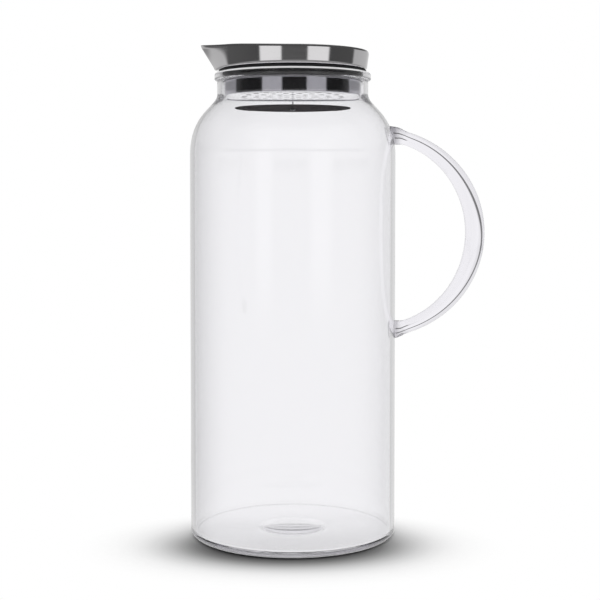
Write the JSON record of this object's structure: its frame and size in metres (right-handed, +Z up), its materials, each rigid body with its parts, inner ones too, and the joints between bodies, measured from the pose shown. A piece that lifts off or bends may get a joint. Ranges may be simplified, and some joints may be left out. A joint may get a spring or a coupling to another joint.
{
  "type": "glass pitcher",
  "caption": "Tall clear glass pitcher with a bent rod handle and a steel lid that has a pouring beak, a strainer and a weighted flap that opens as it is tipped.",
  "frame": {"origin": "middle of the flat base, on the axis of the glass cylinder, on the surface that it stands on", "axes": "+Z up along the cylinder's axis, +X towards the handle, -X towards the lid's beak"},
  "size_m": [0.1582, 0.11, 0.2623],
  "materials": {
    "clear_glass": "clear, fire-polished",
    "polished_steel": "mirror-polished stainless steel",
    "brushed_steel": "brushed stainless steel",
    "black_silicone": "matt food-grade silicone"
  },
  "bodies": {
    "pitcher": {"glass_body": "clear_glass", "glass_handle": "clear_glass"},
    "seal": {"lid_gasket": "black_silicone"},
    "lid": {"lid_cover": "polished_steel", "lid_collar": "polished_steel", "strainer": "polished_steel", "guard_disc": "black_silicone", "guard_stem": "brushed_steel", "hinge_ear_left": "brushed_steel", "hinge_ear_right": "brushed_steel", "flap_pin": "brushed_steel"},
    "flap": {"flap": "brushed_steel", "flap_weight": "brushed_steel"}
  },
  "joints": [
    {"name": "lid_lift", "type": "slide", "parent": "pitcher", "child": "seal", "axis": [0, 0, 1], "range_m": [0, 0.045]},
    {"name": "lid_turn", "type": "hinge", "parent": "seal", "child": "lid", "pos_m": [0, 0, 0.2487], "axis": [0, 0, 1], "continuous": true},
    {"name": "flap_tilt", "type": "hinge", "parent": "lid", "child": "flap", "pos_m": [0.006, 0, 0.2465], "axis": [0, 1, 0], "range_deg": [0, 44]}
  ]
}
